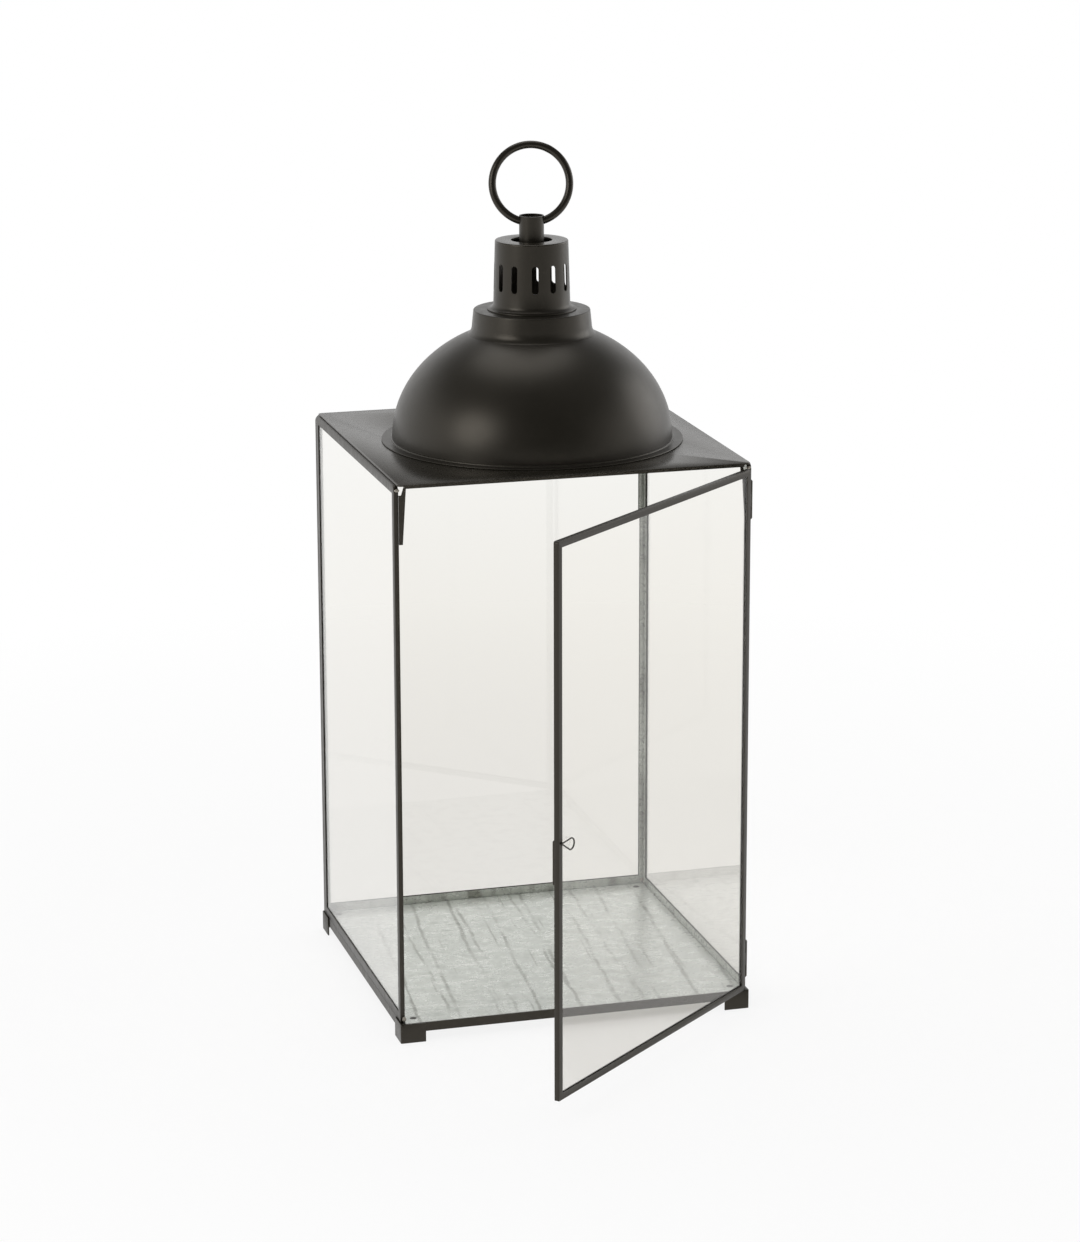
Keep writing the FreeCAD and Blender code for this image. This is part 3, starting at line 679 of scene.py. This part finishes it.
# solder where strips meet: x, y, z, then its size, in millimetres
solderSpots = {"frontLeftTop": (-117.0, -112.9, 357.2, 3.4, 1.5, 2.2),
               "frontLeftFoot": (-116.6, -113.2, 2.2, 2.6, 2.0, 3.6),
               "frontRightTop": (117.2, -112.9, 357.4, 3.0, 1.4, 2.0),
               "frontRightFoot": (116.9, -113.0, 2.0, 2.4, 1.8, 3.2),
               "backRightFoot": (115.4, 113.4, 2.4, 2.6, 2.2, 3.4),
               "backLeftFoot": (-115.4, 113.4, 2.0, 2.4, 2.2, 2.8),
               "backRightTop": (115.6, 113.6, 356.6, 1.8, 1.8, 3.6),
               "backLeftTop": (-115.6, 113.6, 356.8, 1.8, 1.8, 3.2)}


def buildSolder(values):
    for number, (name, (x, y, z, wide, deep, high)) in enumerate(values.items()):
        deselectAll()
        bpy.ops.mesh.primitive_ico_sphere_add(subdivisions=4, radius=0.5, location=(x * mm, y * mm, z * mm))
        blob = bpy.context.object
        blob.name = name + "Solder"
        blob.scale = (wide * mm, deep * mm, high * mm)
        bpy.ops.object.transform_apply(location=True, rotation=True, scale=True)
        bpy.ops.object.mode_set(mode="EDIT")
        bpy.ops.mesh.select_all(action="SELECT")
        bpy.ops.transform.vertex_random(offset=0.00012, uniform=0.3, seed=number + 3)
        bpy.ops.mesh.vertices_smooth(factor=0.5, repeat=2)
        bpy.ops.object.mode_set(mode="OBJECT")
        smooth(blob, 80)
        finishPiece(blob, "lantern", [], [solder])


buildPaneFrames(channels)
buildDoorFrame(doorChannels)
print("channel frames made")
buildTopPlate(plate)
buildDome(domeShape)
buildCollar(collarShape)
buildChimney(chimneyShape)
buildCap(capShape)
buildRing(ringShape)
print("roof and ring made")
buildFeet(feet)
buildSolder(solderSpots)
print("feet and solder made")

paneNames = [name for name in nodes if name.startswith("glass_") or name == "door_glass"]
dress([name for name in nodes if name not in paneNames and name != "base_tray"], blackPaint)
dress(["base_rail_" + side for side in ("front", "back", "left", "right")] + ["front_header"], channelPaint)
dress(["hinge_lower_pin", "hinge_upper_pin", "ferrule_screw", "tray_rivets"], rivetPaint)
dress(["door_latch"], wirePaint)
dress(paneNames, clearGlass)
dress(["base_tray"], trayZinc)
print("CAD nodes dressed")


# sizes and distances in metres; the floor seen through glass is warmer and keeps more of its shadow, and
# its glow there is painted darker near the lantern as painted shade
studio = {"floorHeight": -13.0 * mm, "floorSize": 14.0, "floorWhite": 0.95, "floorRoughness": 0.9,
          "glow": 0.86, "fadeStart": 0.35, "fadeEnd": 1.0,
          "nearThroughGlass": (0.82, 0.795, 0.74), "farThroughGlass": (0.93, 0.93, 0.915),
          "warmShadeStart": 0.15, "warmShadeEnd": 1.7, "solidStart": 0.14, "shadowThroughGlass": 0.6}


def buildFloor(values):
    deselectAll()
    bpy.ops.mesh.primitive_plane_add(size=values["floorSize"], location=(0, 0, values["floorHeight"]))
    floor = bpy.context.object
    floor.name = "studioFloor"
    bpy.ops.object.transform_apply(location=True, rotation=True, scale=True)
    material, tree, shader = newMaterial("paleFloor")
    shader.inputs["Base Color"].default_value = (values["floorWhite"],) * 3 + (1,)
    shader.inputs["Roughness"].default_value = values["floorRoughness"]
    rays = tree.nodes.new("ShaderNodeLightPath")
    glow = addNode(tree, "ShaderNodeEmission", Strength=1.0)
    seen = addNode(tree, "ShaderNodeMath", operation="MAXIMUM")
    reach = addNode(tree, "ShaderNodeVectorMath", operation="LENGTH")
    tree.links.new(placeOnPiece(tree), reach.inputs[0])
    distance = reach.outputs["Value"]
    faded = remap(tree, distance, values["fadeStart"], values["fadeEnd"], values["glow"], 1.0)
    tree.links.new(rays.outputs["Is Camera Ray"], seen.inputs[0])
    tree.links.new(rays.outputs["Is Glossy Ray"], seen.inputs[1])
    direct = multiply(tree, seen.outputs[0], faded)
    weakest = 1 - values["shadowThroughGlass"]
    solid = remap(tree, distance, values["solidStart"], values["fadeEnd"], weakest, 1.0)
    share = tree.nodes.new("ShaderNodeMix")
    tree.links.new(rays.outputs["Is Transmission Ray"], share.inputs[0])
    tree.links.new(direct, share.inputs[2])
    tree.links.new(solid, share.inputs[3])
    # seen through glass, the floor's glow is painted darker and warmer near the lantern: painted shade that
    # fades out with distance
    along = remap(tree, distance, values["warmShadeStart"], values["warmShadeEnd"], 0.0, 1.0)
    warmTintAndPaintedShade = ramp(tree, along, [(0.0, values["nearThroughGlass"]), (1.0, values["farThroughGlass"])])
    shown = mixColours(tree, rays.outputs["Is Transmission Ray"], (1, 1, 1), warmTintAndPaintedShade)
    tree.links.new(shown, glow.inputs["Color"])
    mix = tree.nodes.new("ShaderNodeMixShader")
    tree.links.new(share.outputs[0], mix.inputs["Fac"])
    tree.links.new(shader.outputs["BSDF"], mix.inputs[1])
    tree.links.new(glow.outputs["Emission"], mix.inputs[2])
    tree.links.new(mix.outputs["Shader"], tree.nodes["Material Output"].inputs["Surface"])
    floor.data.materials.append(material)


# how bright each part of the studio is, and where it starts; roomSide points to the dim room in front
sky = {"fill": 0.48, "wall": 1.0, "wallTop": 0.3, "ceiling": 0.15, "ceilingStart": 0.62,
       "room": 0.1, "roomSide": (-0.27, -0.963, 0.0), "roomStart": 0.15, "roomFull": 0.75}


# White walls behind and beside, with a dark ceiling and a dim room in front, which the satin metal mirrors.
def buildWorld(values):
    world = bpy.data.worlds.new("studioWorld")
    bpy.context.scene.world = world
    world.use_nodes = True
    tree = world.node_tree
    background = tree.nodes["Background"]
    rays = tree.nodes.new("ShaderNodeLightPath")
    coords = tree.nodes.new("ShaderNodeTexCoord")
    split = tree.nodes.new("ShaderNodeSeparateXYZ")
    tree.links.new(coords.outputs["Generated"], split.inputs["Vector"])
    mirrored = ramp(tree, split.outputs["Z"], [(0.0, (1, 1, 1)), (values["wallTop"], (values["wall"],) * 3),
                                               (values["ceilingStart"], (values["ceiling"],) * 3)])
    towards = addNode(tree, "ShaderNodeVectorMath", operation="DOT_PRODUCT")
    towards.inputs[1].default_value = values["roomSide"]
    tree.links.new(coords.outputs["Generated"], towards.inputs[0])
    dim = remap(tree, towards.outputs["Value"], values["roomStart"], values["roomFull"], 0.0, 1.0)
    mirrored = mixColours(tree, dim, mirrored, (values["room"],) * 3)
    lit = mixColours(tree, rays.outputs["Is Glossy Ray"], (values["fill"],) * 3, mirrored)
    through = mixColours(tree, rays.outputs["Is Transmission Ray"], lit, (1, 1, 1))
    shown = mixColours(tree, rays.outputs["Is Camera Ray"], through, (1, 1, 1))
    tree.links.new(shown, background.inputs["Color"])


# lamp places and sizes in metres, power in watts
lamps = {"keyLeft": {"place": (-1.5, -0.7, 1.0), "size": 1.1, "power": 9},
         "fillRight": {"place": (1.6, 0.3, 0.8), "size": 1.2, "power": 4.5},
         "overhead": {"place": (0.0, 0.5, 1.9), "size": 1.4, "power": 7.5}}
lampTarget = (0, 0, 0.25)


def buildLamps(values):
    for name, lamp in values.items():
        deselectAll()
        bpy.ops.object.light_add(type="AREA", location=lamp["place"])
        light = bpy.context.object
        light.name = name
        light.data.shape = "DISK"
        light.data.size = lamp["size"]
        light.data.energy = lamp["power"]
        aim = Vector(lampTarget) - light.location
        light.rotation_euler = aim.to_track_quat("-Z", "Y").to_euler()


# the photograph's view: angles in degrees, lengths in metres
eye = {"azimuth": -15.65, "elevation": 14.96, "roll": -0.16,
       "distance": 2.56375, "sideways": 0.00796, "height": 0.23446,
       "focalPixels": 3798.37, "pictureHeight": 1242, "sensor": 36}


def buildCamera(values):
    a = math.radians(values["azimuth"])
    e = math.radians(values["elevation"])
    back = Vector((math.sin(a) * math.cos(e), -math.cos(a) * math.cos(e), math.sin(e)))
    right = Vector((math.cos(a), math.sin(a), 0))
    deselectAll()
    target = right * values["sideways"] + Vector((0, 0, values["height"]))
    bpy.ops.object.camera_add(location=target + back * values["distance"])
    camera = bpy.context.object
    level = (-back).to_track_quat("-Z", "Y")
    camera.rotation_euler = (level @ Quaternion((0, 0, 1), math.radians(values["roll"]))).to_euler()
    camera.data.sensor_fit = "AUTO"
    camera.data.sensor_width = values["sensor"]
    camera.data.lens = values["focalPixels"] / values["pictureHeight"] * values["sensor"]
    camera.data.clip_start = 0.05
    camera.data.clip_end = 50
    bpy.context.scene.camera = camera


buildFloor(studio)
buildWorld(sky)
buildLamps(lamps)
buildCamera(eye)
bpy.context.scene.view_settings.view_transform = "Standard"
print("floor, light and camera made")
